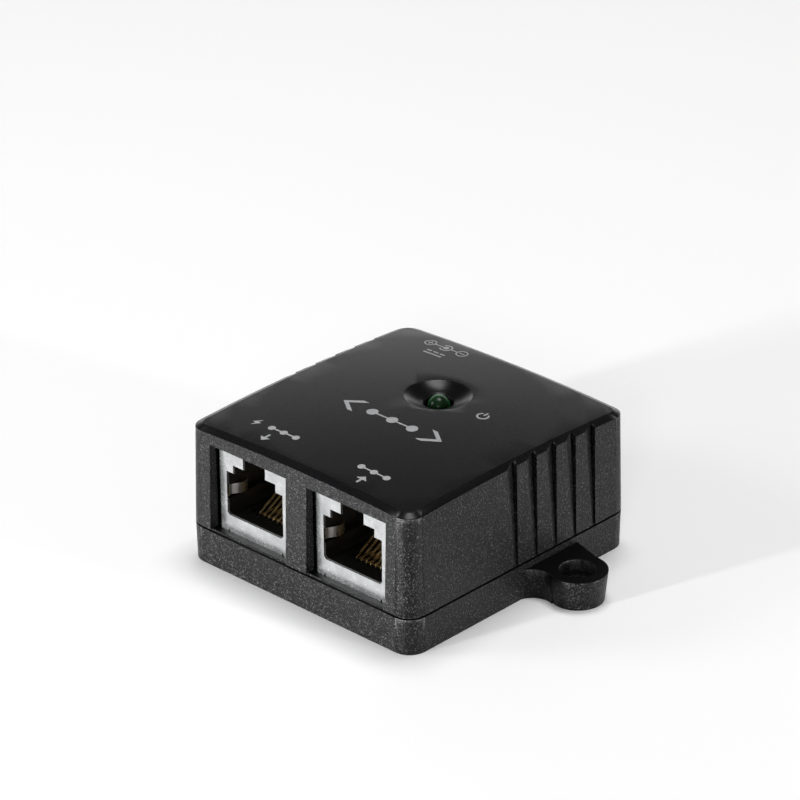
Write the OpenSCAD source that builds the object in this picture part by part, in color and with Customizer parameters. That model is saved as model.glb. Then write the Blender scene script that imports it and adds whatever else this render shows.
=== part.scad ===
// Passive power-over-Ethernet injector: two-piece plastic case with two screw ears,
// two shielded modular jacks in front, a barrel power inlet behind and a status lamp on top.
// Millimetres, +Z up, jacks face -Y, origin on the resting plane at the centre of the case.

/* [Case] */
// overall width of the case at the parting line
case_w = 47.9; // [47:0.1:50]
// overall depth of the case at the parting line
case_d = 50.1; // [49.8:0.1:52]
// height of the parting line above the resting plane
parting_z = 6.44; // [6.2:0.02:6.5]
// highest point of the crowned lid
lid_top_z = 24.6; // [24.4:0.1:25.4]
// radius of the spherical crown of the lid
crown_r = 400; // [300:10:700]
// outside radius of the upright corners
corner_r = 3.2; // [2.6:0.1:3.6]
// lean of the lid walls over their full height
lid_lean = 0.42; // [0.3:0.02:0.6]
// lean of the base walls over their full height
base_lean = 0.14; // [0.05:0.01:0.25]
// horizontal width of the smooth sloped band around the lid
band_run = 1.38; // [1:0.02:1.5]
// vertical drop of the smooth sloped band around the lid
band_drop = 0.62; // [0.5:0.02:0.8]
// thickness of the floor of the base
floor_t = 1.6; // [1.2:0.1:2]

/* [Grip ribs] */
// number of sawtooth grooves on each side
groove_count = 5; // [3:1:5]
// distance between grooves
groove_pitch = 4.49; // [4:0.01:4.5]
// position of the steep wall of the foremost groove
groove_first_y = -1.12; // [-2:0.02:0]
// depth of a groove at the parting line
groove_low_depth = 0.33; // [0.2:0.01:0.5]
// depth of a groove at the top edge
groove_high_depth = 0.96; // [0.6:0.02:1.1]
// length of the ramp of a groove for each unit of its depth
groove_ramp = 2.35; // [2:0.05:2.6]

/* [Screw ears] */
// distance from the middle of the case to each ear hole
ear_x = 29.62; // [29:0.02:31]
// position of the ear holes along the depth
ear_y = 6.2; // [5:0.1:8]
// thickness of the ears
ear_t = 5; // [4:0.1:5.5]
// radius of the ear tip at its top edge
ear_r = 4.74; // [4.5:0.02:5]
// radius of the screw hole through each ear
ear_hole_r = 1.7; // [1.5:0.05:2]
// radius of the screw head recess in each ear
ear_recess_r = 2.9; // [2.6:0.05:3]
// depth of the screw head recess in each ear
ear_recess_depth = 2; // [1.5:0.1:2.4]

/* [Modular jacks] */
// distance of each jack from the middle of the case
jack_x = 10.45; // [10.4:0.01:10.6]
// distance of the shield face behind the front of the case
jack_setback = 1.74; // [1.7:0.01:1.8]
// distance between neighbouring jack contacts
contact_pitch = 1.016; // [1:0.001:1.03]
// slope of the contact springs in degrees at rest
contact_slope = 31; // [30:0.5:32]

/* [Power inlet] */
// position of the power inlet along the width
dc_x = -10.9; // [-11.2:0.1:-10.6]
// radius of the socket of the power inlet
dc_bore_r = 3.15; // [3:0.05:3.3]
// radius of the centre pin of the power inlet
dc_pin_r = 1.0; // [0.8:0.05:1.25]

/* [Status lamp] */
// position of the lamp along the depth
lamp_y = 6.9; // [6.5:0.1:7.2]
// radius of the rim of the lamp dish
dish_r = 5.37; // [5:0.01:5.5]
// radius of the lamp hole
lamp_hole_r = 2.45; // [2.3:0.05:2.6]
// radius of the domed lamp
lamp_r = 1.8; // [1.5:0.05:1.9]

/* [Hidden] */
$fn = 64;
eps = 0.01;
// wide overshoot so that every cut runs past the face it opens
over = 1;
half_w = case_w / 2;
half_d = case_d / 2;
// shadow gap between the lid and the base: height, and how far back its inner wall stands
reveal = 0.38;
reveal_depth = 0.5;
// crest line of the lid walls at the upright corners and its rise toward each wall's middle
flat_x = half_w - corner_r;
flat_y = half_d - corner_r;
// the corner posts sit this much inside the walls so that the two meet at a real edge
corner_shy = 0.02;
crest_corner_z = lid_top_z - band_drop - (flat_x * flat_x + flat_y * flat_y) / (2 * crown_r) - 0.04;
crest_front_z = crest_corner_z + flat_x * flat_x / (2 * crown_r);
crest_side_z = crest_corner_z + flat_y * flat_y / (2 * crown_r);
// inner faces
side_in = 21.9;
base_side_in = 21.2;
front_in = half_d - jack_setback;
back_in = 22.5;
roof_t = 1.85;
roof_low_z = lid_top_z - roof_t;
// circuit board
board_under_z = 4;
board_t = 1.6;
board_top_z = board_under_z + board_t;
board_half_w = 20.9;
board_front = -22.9;
board_back = 22.2;
board_corner_r = 1;
lead_hole_r = 0.5;
lead_low_z = 2.7;
// case screws: one between the jacks and one in each rear corner
screw_spots = [[0, -19.6], [19, 19.9], [-19, 19.9]];
screw_r = 1.15;
screw_clear_r = 1.4;
screw_head_r = 2.3;
screw_recess_r = 2.6;
screw_seat_z = 1.9;
screw_head_low_z = 0.35;
screw_end_z = 13.4;
boss_r = 3.5;
post_r = 2.2;
post_bore_end_z = 14.5;
// jack windows
window_half = 8.27;
window_top_z = 21.1;
jack_face_y = -half_d + jack_setback;
jack_half = 7.9;
jack_top_z = 21.35;
jack_depth = 16;
jack_back_y = jack_face_y + jack_depth;
shield_t = 0.25;
shield_bend_r = 0.5;
mouth_low_z = 9.3;
mouth_side_z = 16.85;
mouth_step_z = 18.25;
mouth_top_z = 20.6;
mouth_half = 6.1;
mouth_step_half = 4.6;
mouth_notch_half = 2.4;
cavity_inset = 0.12;
cavity_back_y = -10.6;
// jack contacts
contact_n = 8;
wire_w = 0.36;
wire_t = 0.28;
bend_y = -18.6;
bend_z = 8.45;
bend_r = 0.42;
spring_len = 8.3;
spring_start = 0.52;
comb_half = 4.3;
comb_front_y = -19.9;
comb_low_z = 7.7;
housing_corner_r = 0.35;
tip_pocket_y = -9.3;
tip_pocket_low_z = 11;
tip_pocket_high_z = 13.6;
lead_run_z = 8.03;
lead_row_a_y = -9.6;
lead_row_b_y = -12.2;
// grounding tabs of the jack shields
tab_low_z = 12.25;
tab_high_z = 14.05;
tab_t = 0.2;
tab_root_y = jack_face_y + 0.75;
tab_x = 6.45;
tab_lean = 0.25;
tab_lean_y = 0.65;
tab_bow = 0.9;
tab_bow_y = 2.3;
tab_len = 3.9;
tab_root_r = 0.2;
tab_gap = 0.05;
tab_pocket_x = 7.3;
tab_pocket_back_y = -14.6;
// power inlet
dc_z = board_top_z + 6.5;
dc_face_y = back_in - 0.05;
dc_half = 4.5;
dc_len = 14.2;
dc_top_z = board_top_z + 11;
dc_bore_len = 9.5;
dc_pin_tip_gap = 1.2;
dc_wall_hole_r = 4.1;
dc_wall_mouth_r = 4.9;
leaf_root_y = dc_face_y - 9.2;
leaf_len = 6.8;
leaf_t = 0.25;
leaf_half = 0.8;
leaf_drop = 3.0;
leaf_rise = 0.55;
// lamp
lamp_center_z = 22.5;
dish_rim_z = lid_top_z - 0.1;
dish_floor_z = 23.2;
dish_ball_z = (dish_r * dish_r - lamp_hole_r * lamp_hole_r + dish_rim_z * dish_rim_z
             - dish_floor_z * dish_floor_z) / (2 * (dish_rim_z - dish_floor_z));
dish_ball_r = sqrt(dish_r * dish_r + pow(dish_ball_z - dish_rim_z, 2));
lamp_foot_z = 19.4;
lamp_flange_r = 2.15;
lamp_boss_r = 4.2;
lamp_boss_z = 21.3;
spacer_r = 2.4;

// recessed label underneath
label_half_x = 14;
label_y0 = -12;
label_y1 = 12;
label_depth = 0.3;
label_t = 0.15;
// shield pegs through the board
peg_x = jack_half - shield_t / 2;
peg_y = -13;
// lugs of the power inlet through the board
dc_lug_half = 0.5;
dc_slot_half = 0.75;
dc_side_y = dc_face_y - 8;
dc_lug_spots = [[dc_x, dc_face_y - dc_len - 0.18], [dc_x + dc_half + 0.18, dc_side_y]];
// parts on the board
lamp_lead_x = 1.27;
lamp_lead_half = 0.25;
trafo_x = 12.4;
trafo_y = 0.6;
trafo_half_x = 7.2;
trafo_half_y = 4.6;
trafo_h = 5.8;
cap_x = -16.4;
cap_y = -1.6;
cap_r = 4;
cap_h = 12;
cap_lead_gap = 1.75;
cap_stand = 0.3;
coil_x = -7.2;
coil_y = -2.4;
coil_half = 4;
coil_core_r = 1.6;
coil_h = 4.6;
coil_flange_low = 1;
coil_flange_high = 0.8;
chip_x = 13.4;
chip_y = 13.6;
chip_half_x = 4.4;
chip_half_y = 1.95;
switch_x = 3.6;
switch_y = 16.2;
fuse_x = -18.4;
fuse_y = 9.4;
diode_x = -3.2;
diode_y = 14.6;
through_spots = [[-lamp_lead_x, lamp_y], [lamp_lead_x, lamp_y],
                 [cap_x, cap_y - cap_lead_gap], [cap_x, cap_y + cap_lead_gap]];
small_cap_spots = [[-1.4, -4.6], [1.6, -4.6], [6.2, 9.6], [8.2, 9.6], [-3.2, 3.6], [19.6, 15]];
small_res_spots = [[-1.2, 0.6], [1.8, 0.6], [14, 19.8], [17, 9.2], [13.4, 18], [10, 19.8]];

black_plastic = [0.06, 0.06, 0.065];
jack_black = [0.04, 0.04, 0.04];
nickel = [0.75, 0.75, 0.73];
gold = [0.83, 0.66, 0.3];
tin = [0.72, 0.72, 0.72];
board_green = [0.05, 0.3, 0.16];
chip_black = [0.08, 0.08, 0.09];
lamp_green = [0.05, 0.35, 0.12];
steel = [0.5, 0.5, 0.52];
ceramic = [0.72, 0.6, 0.45];
ferrite = [0.22, 0.22, 0.23];

// solid disc with a spherical top that peaks at the given height
module crown_cap(peak_z) {
    reach = case_w;
    rotate_extrude($fn = 96)
        intersection() {
            translate([0, peak_z - crown_r])
                circle(r = crown_r, $fn = 1440);
            translate([0, -over])
                square([reach, peak_z + 2 * over]);
        }
}

// wide cone lying along Y that trims a wall top along an arched crest line at y = -wall_y
module arched_trim(wall_y, crest_z) {
    slope = band_drop / band_run;
    reach = case_d;
    translate([0, 0, crest_z - crown_r])
        rotate([-90, 0, 0])
            translate([0, 0, -reach])
                cylinder(h = 2 * reach, r1 = crown_r + (wall_y - reach) * slope,
                         r2 = crown_r + (wall_y + reach) * slope, $fn = 1440);
}

// slab that spans the depth, with leaning end walls and an arched sloped band above each
module lid_slab(hx, hy, crest_z) {
    rise = lid_top_z + over - parting_z;
    lean = lid_lean * rise / (crest_corner_z - parting_z);
    wall_y = hy - lid_lean;
    intersection() {
        rotate([90, 0, 90])
            linear_extrude(height = 2 * hx, center = true)
                polygon([[-hy, parting_z], [hy, parting_z],
                         [hy - lean, parting_z + rise], [-(hy - lean), parting_z + rise]]);
        arched_trim(wall_y, crest_z);
        mirror([0, 1, 0])
            arched_trim(wall_y, crest_z);
    }
}

// outside form of the lid: two crossing slabs, four round corners, one spherical crown
module lid_form() {
    low_r = corner_r - corner_shy;
    crest_r = low_r - lid_lean;
    tip_h = crest_r * band_drop / band_run;
    intersection() {
        crown_cap(lid_top_z);
        union() {
            lid_slab(flat_x, half_d, crest_front_z);
            rotate([0, 0, 90])
                lid_slab(flat_y, half_w, crest_side_z);
            for (sx = [-1, 1])
                for (sy = [-1, 1])
                    translate([sx * flat_x, sy * flat_y, parting_z]) {
                        cylinder(h = crest_corner_z - parting_z, r1 = low_r, r2 = crest_r);
                        translate([0, 0, crest_corner_z - parting_z])
                            cylinder(h = tip_h, r1 = crest_r, r2 = 0);
                    }
        }
    }
}

// upright block with rounded corners in plan
module rounded_block(x0, x1, y0, y1, z0, z1, r) {
    translate([0, 0, z0])
        linear_extrude(height = z1 - z0) {
            translate([x0 + r, y0])
                square([x1 - x0 - 2 * r, y1 - y0]);
            translate([x0, y0 + r])
                square([x1 - x0, y1 - y0 - 2 * r]);
            for (x = [x0 + r, x1 - r])
                for (y = [y0 + r, y1 - r])
                    translate([x, y])
                        circle(r = r);
        }
}

// plain block given by its faces
module block(x0, x1, y0, y1, z0, z1) {
    translate([x0, y0, z0])
        cube([x1 - x0, y1 - y0, z1 - z0]);
}

// cylinder between two heights
module post(x, y, z0, z1, r) {
    translate([x, y, z0])
        cylinder(h = z1 - z0, r = r);
}

// one sawtooth groove: steep wall at y = 0 facing forward, ramp running forward and outward
module groove_cut() {
    height = lid_top_z - parting_z + 2 * over;
    low_x = half_w - groove_low_depth;
    high_x = half_w - lid_lean - groove_high_depth;
    tilt = atan((low_x - high_x) / (crest_corner_z - parting_z));
    reach = 3;
    translate([low_x, 0, parting_z])
        rotate([0, -tilt, 0])
            translate([0, 0, -over])
                linear_extrude(height = height)
                    polygon([[0, 0], [reach, 0], [reach, -reach * groove_ramp]]);
}

module jack_windows() {
    for (side = [-1, 1])
        block(side * jack_x - window_half, side * jack_x + window_half,
              -half_d - over, jack_face_y + over, parting_z - over, window_top_z);
}

// spherical dish that leads down to the lamp hole
module lamp_dish() {
    translate([0, lamp_y, dish_ball_z])
        sphere(r = dish_ball_r, $fn = 128);
    post(0, lamp_y, lamp_boss_z - over, lid_top_z, lamp_hole_r);
}

// hole through the rear wall in front of the power inlet, flared outward
module dc_wall_hole() {
    translate([dc_x, 0, dc_z])
        rotate([-90, 0, 0]) {
            translate([0, 0, back_in - over])
                cylinder(h = half_d - back_in + 2 * over, r = dc_wall_hole_r);
            translate([0, 0, half_d - lid_lean - over])
                cylinder(h = 2 * over, r1 = dc_wall_hole_r, r2 = dc_wall_mouth_r + over);
        }
}

module top_cover() {
    color(black_plastic)
        difference() {
            union() {
                difference() {
                    lid_form();
                    intersection() {
                        block(-side_in, side_in, -front_in, back_in, parting_z - over, lid_top_z);
                        crown_cap(roof_low_z);
                    }
                }
                for (s = screw_spots)
                    post(s[0], s[1], board_top_z, roof_low_z, post_r);
                post(0, lamp_y, lamp_boss_z, roof_low_z, lamp_boss_r);
            }
            jack_windows();
            lamp_dish();
            dc_wall_hole();
            for (s = screw_spots)
                post(s[0], s[1], board_top_z - over, post_bore_end_z, screw_r);
            for (k = [0 : groove_count - 1])
                for (side = [0, 1])
                    mirror([side, 0, 0])
                        translate([0, groove_first_y + k * groove_pitch, 0])
                            groove_cut();
        }
}

// plan of one screw ear: tapered round tip, web with a hollow curve in front, straight rear edge
module ear() {
    taper = 0.5;
    web_x0 = half_w - 2;
    curve_r = 3.3;
    curve_x = half_w + curve_r - 0.3;
    mid_r = ear_r - taper / 2;
    curve_y = ear_y - sqrt(pow(mid_r + curve_r, 2) - pow(ear_x - curve_x, 2));
    // direction of the straight rear edge, leaning back toward the case
    rear_nx = 0.284;
    rear_ny = sqrt(1 - rear_nx * rear_nx);
    rear_x = ear_x + rear_nx * mid_r;
    rear_y = ear_y + rear_ny * mid_r;
    root_y = rear_y + (rear_x - web_x0) * rear_nx / rear_ny;
    // point where the front curve meets the round tip
    touch = mid_r / (mid_r + curve_r);
    touch_x = ear_x + (curve_x - ear_x) * touch;
    touch_y = ear_y + (curve_y - ear_y) * touch;
    difference() {
        union() {
            translate([ear_x, ear_y, 0])
                cylinder(h = ear_t, r1 = ear_r - taper, r2 = ear_r);
            difference() {
                linear_extrude(height = ear_t)
                    polygon([[web_x0, curve_y], [curve_x, curve_y], [touch_x, touch_y], [ear_x, ear_y],
                             [rear_x, rear_y], [web_x0, root_y]]);
                translate([curve_x, curve_y, -over])
                    cylinder(h = ear_t + 2 * over, r = curve_r);
            }
        }
        post(ear_x, ear_y, -over, ear_t + over, ear_hole_r);
        post(ear_x, ear_y, ear_t - ear_recess_depth, ear_t + over, ear_recess_r);
    }
}

// outside form of the base, widest at the parting line
module base_form(top_z) {
    rotate([90, 0, 0])
        linear_extrude(height = 2 * flat_y, center = true)
            polygon([[-(half_w - base_lean), 0], [half_w - base_lean, 0], [half_w, top_z], [-half_w, top_z]]);
    rotate([90, 0, 90])
        linear_extrude(height = 2 * flat_x, center = true)
            polygon([[-(half_d - base_lean), 0], [half_d - base_lean, 0], [half_d, top_z], [-half_d, top_z]]);
    for (sx = [-1, 1])
        for (sy = [-1, 1])
            translate([sx * flat_x, sy * flat_y, 0])
                cylinder(h = top_z, r1 = corner_r - base_lean - corner_shy, r2 = corner_r - corner_shy);
}

module base_tray() {
    rim_z = parting_z - reveal;
    lip_z = parting_z + 1.2;
    lip_t = 0.65;
    lip_y0 = -20;
    lip_y1 = 16;
    rest_r = 1.6;
    color(black_plastic)
        difference() {
            union() {
                difference() {
                    union() {
                        base_form(rim_z);
                        rounded_block(-half_w + reveal_depth, half_w - reveal_depth,
                                      -half_d + reveal_depth, half_d - reveal_depth,
                                      floor_t, parting_z, corner_r - reveal_depth);
                    }
                    block(-base_side_in, base_side_in, -front_in, back_in, floor_t, parting_z + over);
                }
                for (side = [0, 1])
                    mirror([side, 0, 0]) {
                        ear();
                        block(base_side_in, base_side_in + lip_t, lip_y0, lip_y1, floor_t, lip_z);
                    }
                for (s = screw_spots)
                    post(s[0], s[1], floor_t - eps, board_under_z, boss_r);
                for (x = [-18, 18])
                    post(x, -2, floor_t - eps, board_under_z, rest_r);
            }
            for (s = screw_spots) {
                post(s[0], s[1], -over, board_under_z + over, screw_clear_r);
                post(s[0], s[1], -over, screw_seat_z, screw_recess_r);
            }
            block(-label_half_x, label_half_x, label_y0, label_y1, -over, label_depth);
        }
}

module case_screws() {
    slot_t = 0.5;
    slot_len = 2.4;
    slot_depth = 0.8;
    color(steel)
        for (s = screw_spots)
            difference() {
                union() {
                    post(s[0], s[1], screw_head_low_z, screw_seat_z, screw_head_r);
                    post(s[0], s[1], screw_seat_z - eps, screw_end_z, screw_r);
                }
                for (turn = [0, 90])
                    translate([s[0], s[1], screw_head_low_z])
                        rotate([0, 0, turn])
                            cube([slot_len, slot_t, 2 * slot_depth], center = true);
            }
}

module rating_label() {
    color([0.75, 0.75, 0.72])
        rounded_block(-label_half_x, label_half_x, label_y0, label_y1, label_depth - label_t, label_depth, 1);
}

// places children at each pin of a jack, in two staggered rows
module jack_pin_spots() {
    for (i = [0 : contact_n - 1])
        translate([(i - (contact_n - 1) / 2) * contact_pitch, i % 2 == 0 ? lead_row_a_y : lead_row_b_y, 0])
            children();
}

module circuit_board() {
    slot_x = 0.8;
    slot_y = 1.3;
    color(board_green)
        difference() {
            rounded_block(-board_half_w, board_half_w, board_front, board_back,
                          board_under_z, board_top_z, board_corner_r);
            for (s = screw_spots)
                post(s[0], s[1], board_under_z - over, board_top_z + over, screw_clear_r);
            for (side = [-1, 1])
                translate([side * jack_x, 0, 0]) {
                    jack_pin_spots()
                        post(0, 0, board_under_z - over, board_top_z + over, lead_hole_r);
                    for (x = [-peg_x, peg_x])
                        block(x - slot_x / 2, x + slot_x / 2, peg_y - slot_y / 2, peg_y + slot_y / 2,
                              board_under_z - over, board_top_z + over);
                }
            for (p = through_spots)
                post(p[0], p[1], board_under_z - over, board_top_z + over, lead_hole_r);
            for (p = dc_lug_spots)
                block(p[0] - dc_slot_half, p[0] + dc_slot_half, p[1] - dc_slot_half, p[1] + dc_slot_half,
                      board_under_z - over, board_top_z + over);
        }
}

// stepped mouth of a jack in its front view, grown outward by the given margin
module mouth_outline(margin) {
    low = mouth_low_z - margin;
    side_z = mouth_side_z + margin;
    step_z = mouth_step_z + margin;
    top_z = mouth_top_z + margin;
    wide = mouth_half + margin;
    mid = mouth_step_half + margin;
    slim = mouth_notch_half + margin;
    cut = 0.45;
    polygon([[-wide + cut, low], [wide - cut, low], [wide, low + cut], [wide, side_z], [mid, side_z],
             [mid, step_z], [slim, step_z], [slim, top_z], [-slim, top_z], [-slim, step_z],
             [-mid, step_z], [-mid, side_z], [-wide, side_z], [-wide, low + cut]]);
}

// prism with the mouth outline between two depths
module mouth_prism(y0, y1, margin) {
    translate([0, y1, 0])
        rotate([90, 0, 0])
            linear_extrude(height = y1 - y0)
                mouth_outline(margin);
}

// fixed part of the contacts: pins in the board, run under the mouth floor, round front bend
module jack_leads() {
    color(gold)
        for (i = [0 : contact_n - 1])
            translate([(i - (contact_n - 1) / 2) * contact_pitch, 0, 0])
                one_lead(i % 2 == 0 ? lead_row_a_y : lead_row_b_y);
}

module one_lead(row_y) {
    half = wire_w / 2;
    run_low = lead_run_z - wire_t / 2;
    run_high = lead_run_z + wire_t / 2;
    translate([0, bend_y, bend_z])
        rotate([0, 90, 0])
            cylinder(h = wire_w, r = bend_r, center = true, $fn = 32);
    block(-half, half, bend_y, row_y + wire_t / 2, run_low, run_high);
    block(-half, half, row_y - wire_t / 2, row_y + wire_t / 2, lead_low_z, run_high);
}

// springing part of the contacts, rising to the rear from the front bend
module contact_springs() {
    tip_len = 1.2;
    tip_dip = 28;
    color(gold)
        for (i = [0 : contact_n - 1])
            translate([(i - (contact_n - 1) / 2) * contact_pitch, bend_y, bend_z])
                rotate([contact_slope, 0, 0]) {
                    block(-wire_w / 2, wire_w / 2, spring_start, spring_len, -wire_t / 2, wire_t / 2);
                    translate([0, spring_len, 0])
                        rotate([-tip_dip, 0, 0])
                            block(-wire_w / 2, wire_w / 2, -wire_t / 2, tip_len, -wire_t / 2, wire_t / 2);
                }
}

module jack_housing() {
    half = jack_half - shield_t - 0.05;
    front = jack_face_y + shield_t;
    top = jack_top_z - shield_t - 0.05;
    back = jack_back_y - shield_t;
    comb_w = 0.55;
    color(jack_black)
        difference() {
            rounded_block(-half, half, front, back, board_top_z, top, housing_corner_r);
            mouth_prism(front - over, cavity_back_y, -cavity_inset);
            block(-comb_half, comb_half, cavity_back_y - over, tip_pocket_y,
                  tip_pocket_low_z, tip_pocket_high_z);
            block(-comb_half, comb_half, comb_front_y, cavity_back_y, comb_low_z, mouth_low_z + over);
            for (side = [0, 1])
                mirror([side, 0, 0])
                    block(mouth_half - over, tab_pocket_x, front - over, tab_pocket_back_y,
                          tab_low_z - 0.35, tab_high_z + 0.35);
            for (i = [0 : contact_n - 1])
                translate([(i - (contact_n - 1) / 2) * contact_pitch, 0, 0]) {
                    one_lead(i % 2 == 0 ? lead_row_a_y : lead_row_b_y);
                    block(-comb_w / 2, comb_w / 2, comb_front_y - 0.8, comb_front_y + eps,
                          comb_low_z, mouth_low_z + over);
                }
        }
}

module jack_shield() {
    notch_w = 0.3;
    notch_x = 5.9;
    notch_top = 6.75;
    peg_w = 1.1;
    peg_low_z = 2.9;
    color(nickel)
        difference() {
            union() {
                difference() {
                    rounded_block(-jack_half, jack_half, jack_face_y, jack_back_y,
                                  board_top_z, jack_top_z, shield_bend_r);
                    rounded_block(-jack_half + shield_t, jack_half - shield_t,
                                  jack_face_y + shield_t, jack_back_y - shield_t,
                                  board_top_z - over, jack_top_z - shield_t, shield_bend_r - shield_t);
                }
                for (x = [-peg_x, peg_x])
                    block(x - shield_t / 2, x + shield_t / 2, peg_y - peg_w / 2, peg_y + peg_w / 2,
                          peg_low_z, board_top_z + over);
                for (side = [0, 1])
                    mirror([side, 0, 0])
                        block(mouth_half, mouth_half + tab_t, jack_face_y + eps,
                              tab_root_y - tab_root_r - tab_gap, tab_low_z, tab_high_z);
            }
            mouth_prism(jack_face_y - over, jack_face_y + shield_t + over / 2, 0);
            for (x = [-notch_x, notch_x])
                block(x - notch_w / 2, x + notch_w / 2, jack_face_y - over, jack_face_y + shield_t + eps,
                      board_top_z - over, notch_top);
        }
}

// springy side finger of a shield: round root that it turns about, then a bow into the mouth
module ground_tab() {
    half = tab_t / 2;
    color(nickel)
        translate([tab_x, tab_root_y, tab_low_z])
            linear_extrude(height = tab_high_z - tab_low_z) {
                circle(r = tab_root_r);
                polygon([[-half, 0], [half, 0], [half - tab_lean, tab_lean_y], [half - tab_bow, tab_bow_y],
                         [half - tab_lean, tab_len], [-half - tab_lean, tab_len],
                         [-half - tab_bow, tab_bow_y], [-half - tab_lean, tab_lean_y]]);
            }
}

module at_out_jack() {
    translate([-jack_x, 0, 0])
        children();
}

module at_in_jack() {
    translate([jack_x, 0, 0])
        children();
}

module out_jack_housing() {
    at_out_jack()
        jack_housing();
}

module out_jack_shield() {
    at_out_jack()
        jack_shield();
}

module out_jack_leads() {
    at_out_jack()
        jack_leads();
}

module out_contact_springs() {
    at_out_jack()
        contact_springs();
}

module out_ground_tab_right() {
    at_out_jack()
        ground_tab();
}

module out_ground_tab_left() {
    at_out_jack()
        mirror([1, 0, 0])
            ground_tab();
}

module in_jack_housing() {
    at_in_jack()
        jack_housing();
}

module in_jack_shield() {
    at_in_jack()
        jack_shield();
}

module in_jack_leads() {
    at_in_jack()
        jack_leads();
}

module in_contact_springs() {
    at_in_jack()
        contact_springs();
}

module in_ground_tab_right() {
    at_in_jack()
        ground_tab();
}

module in_ground_tab_left() {
    at_in_jack()
        mirror([1, 0, 0])
            ground_tab();
}

module dc_jack_housing() {
    step_len = 3.4;
    slot_half = leaf_half + 0.3;
    slot_low_z = dc_z - dc_bore_r - 1.9;
    color(jack_black)
        translate([dc_x, 0, 0])
            difference() {
                union() {
                    block(-dc_half, dc_half, dc_face_y - step_len, dc_face_y, board_top_z, dc_top_z);
                    block(-dc_half, dc_half, dc_face_y - dc_len, dc_face_y, board_top_z, dc_z);
                    translate([0, dc_face_y - dc_len, dc_z])
                        rotate([-90, 0, 0])
                            cylinder(h = dc_len, r = dc_half);
                }
                translate([0, dc_face_y - dc_bore_len, dc_z])
                    rotate([-90, 0, 0])
                        cylinder(h = dc_bore_len + over, r = dc_bore_r);
                block(-slot_half, slot_half, leaf_root_y - 0.8, dc_face_y - 1.2, slot_low_z, dc_z);
                translate([0, dc_face_y - dc_len - over, dc_z])
                    rotate([-90, 0, 0])
                        cylinder(h = dc_len, r = dc_pin_r);
            }
}

module dc_center_pin() {
    tip_y = dc_face_y - dc_pin_tip_gap;
    color(tin)
        translate([dc_x, 0, dc_z]) {
            translate([0, dc_face_y - dc_len, 0])
                rotate([-90, 0, 0])
                    cylinder(h = tip_y - dc_pin_r - dc_face_y + dc_len, r = dc_pin_r);
            translate([0, tip_y - dc_pin_r, 0])
                sphere(r = dc_pin_r, $fn = 32);
        }
}

// sleeve contact: a leaf hinged at its rear end that bows up into the socket
module dc_sleeve_spring() {
    run = leaf_len * 0.7;
    slope = atan(leaf_rise / run);
    fall = leaf_len - run;
    color(tin)
        translate([dc_x, leaf_root_y, dc_z - leaf_drop]) {
            rotate([0, 90, 0])
                cylinder(h = 2 * leaf_half, r = leaf_t / 2 + 0.05, center = true, $fn = 32);
            rotate([slope, 0, 0])
                block(-leaf_half, leaf_half, 0, run / cos(slope), -leaf_t / 2, leaf_t / 2);
            translate([0, run, leaf_rise])
                rotate([-slope, 0, 0])
                    block(-leaf_half, leaf_half, -leaf_t / 4, fall, -leaf_t / 2, leaf_t / 2);
        }
}

module dc_terminals() {
    lug_t = 0.35;
    lug_half = 0.9;
    pin_y = dc_face_y - dc_len;
    side_x = dc_x + dc_half;
    color(tin) {
        block(dc_x - lug_half, dc_x + lug_half, pin_y - lug_t, pin_y, board_top_z + 0.4, dc_z + dc_pin_r);
        block(dc_x - dc_lug_half, dc_x + dc_lug_half, pin_y - lug_t, pin_y, lead_low_z, board_top_z + 0.5);
        block(side_x, side_x + lug_t, dc_side_y - lug_half, dc_side_y + lug_half,
              board_top_z + 0.4, dc_z - 1);
        block(side_x, side_x + lug_t, dc_side_y - dc_lug_half, dc_side_y + dc_lug_half,
              lead_low_z, board_top_z + 0.5);
    }
}

module status_lamp() {
    color(lamp_green) {
        post(0, lamp_y, lamp_foot_z, lamp_center_z, lamp_r);
        post(0, lamp_y, lamp_foot_z, lamp_foot_z + 0.8, lamp_flange_r);
        translate([0, lamp_y, lamp_center_z])
            sphere(r = lamp_r, $fn = 48);
    }
}

module lamp_leads() {
    color(tin)
        for (x = [-lamp_lead_x, lamp_lead_x])
            block(x - lamp_lead_half, x + lamp_lead_half, lamp_y - lamp_lead_half, lamp_y + lamp_lead_half,
                  lead_low_z, lamp_foot_z);
}

module lamp_spacer() {
    color([0.85, 0.85, 0.83])
        difference() {
            post(0, lamp_y, board_top_z, lamp_foot_z, spacer_r);
            for (x = [-lamp_lead_x, lamp_lead_x])
                block(x - lamp_lead_half, x + lamp_lead_half, lamp_y - lamp_lead_half, lamp_y + lamp_lead_half,
                      board_top_z - over, lamp_foot_z + over);
        }
}

// one bent leg of a surface-mounted package: foot, riser and shoulder, all toward +X
module bent_leg(width, reach, height, thick) {
    foot = 0.9;
    block(reach - foot, reach, -width / 2, width / 2, 0, thick);
    block(reach - foot, reach - foot + thick, -width / 2, width / 2, 0, height);
    block(0, reach - foot + thick, -width / 2, width / 2, height - thick, height);
}

// small round mark sunk into the top of a moulded package
module pin_one_dot(x, y, top_z, r) {
    depth = 0.15;
    post(x, y, top_z - depth, top_z + over, r);
}

module lan_transformer() {
    stand = 0.2;
    edge_r = 0.4;
    dot_in = 1.5;
    dot_r = 0.6;
    color(chip_black)
        difference() {
            rounded_block(trafo_x - trafo_half_x, trafo_x + trafo_half_x, trafo_y - trafo_half_y,
                          trafo_y + trafo_half_y, board_top_z + stand, board_top_z + trafo_h, edge_r);
            pin_one_dot(trafo_x - trafo_half_x + dot_in, trafo_y - trafo_half_y + dot_in,
                        board_top_z + trafo_h, dot_r);
        }
}

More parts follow.
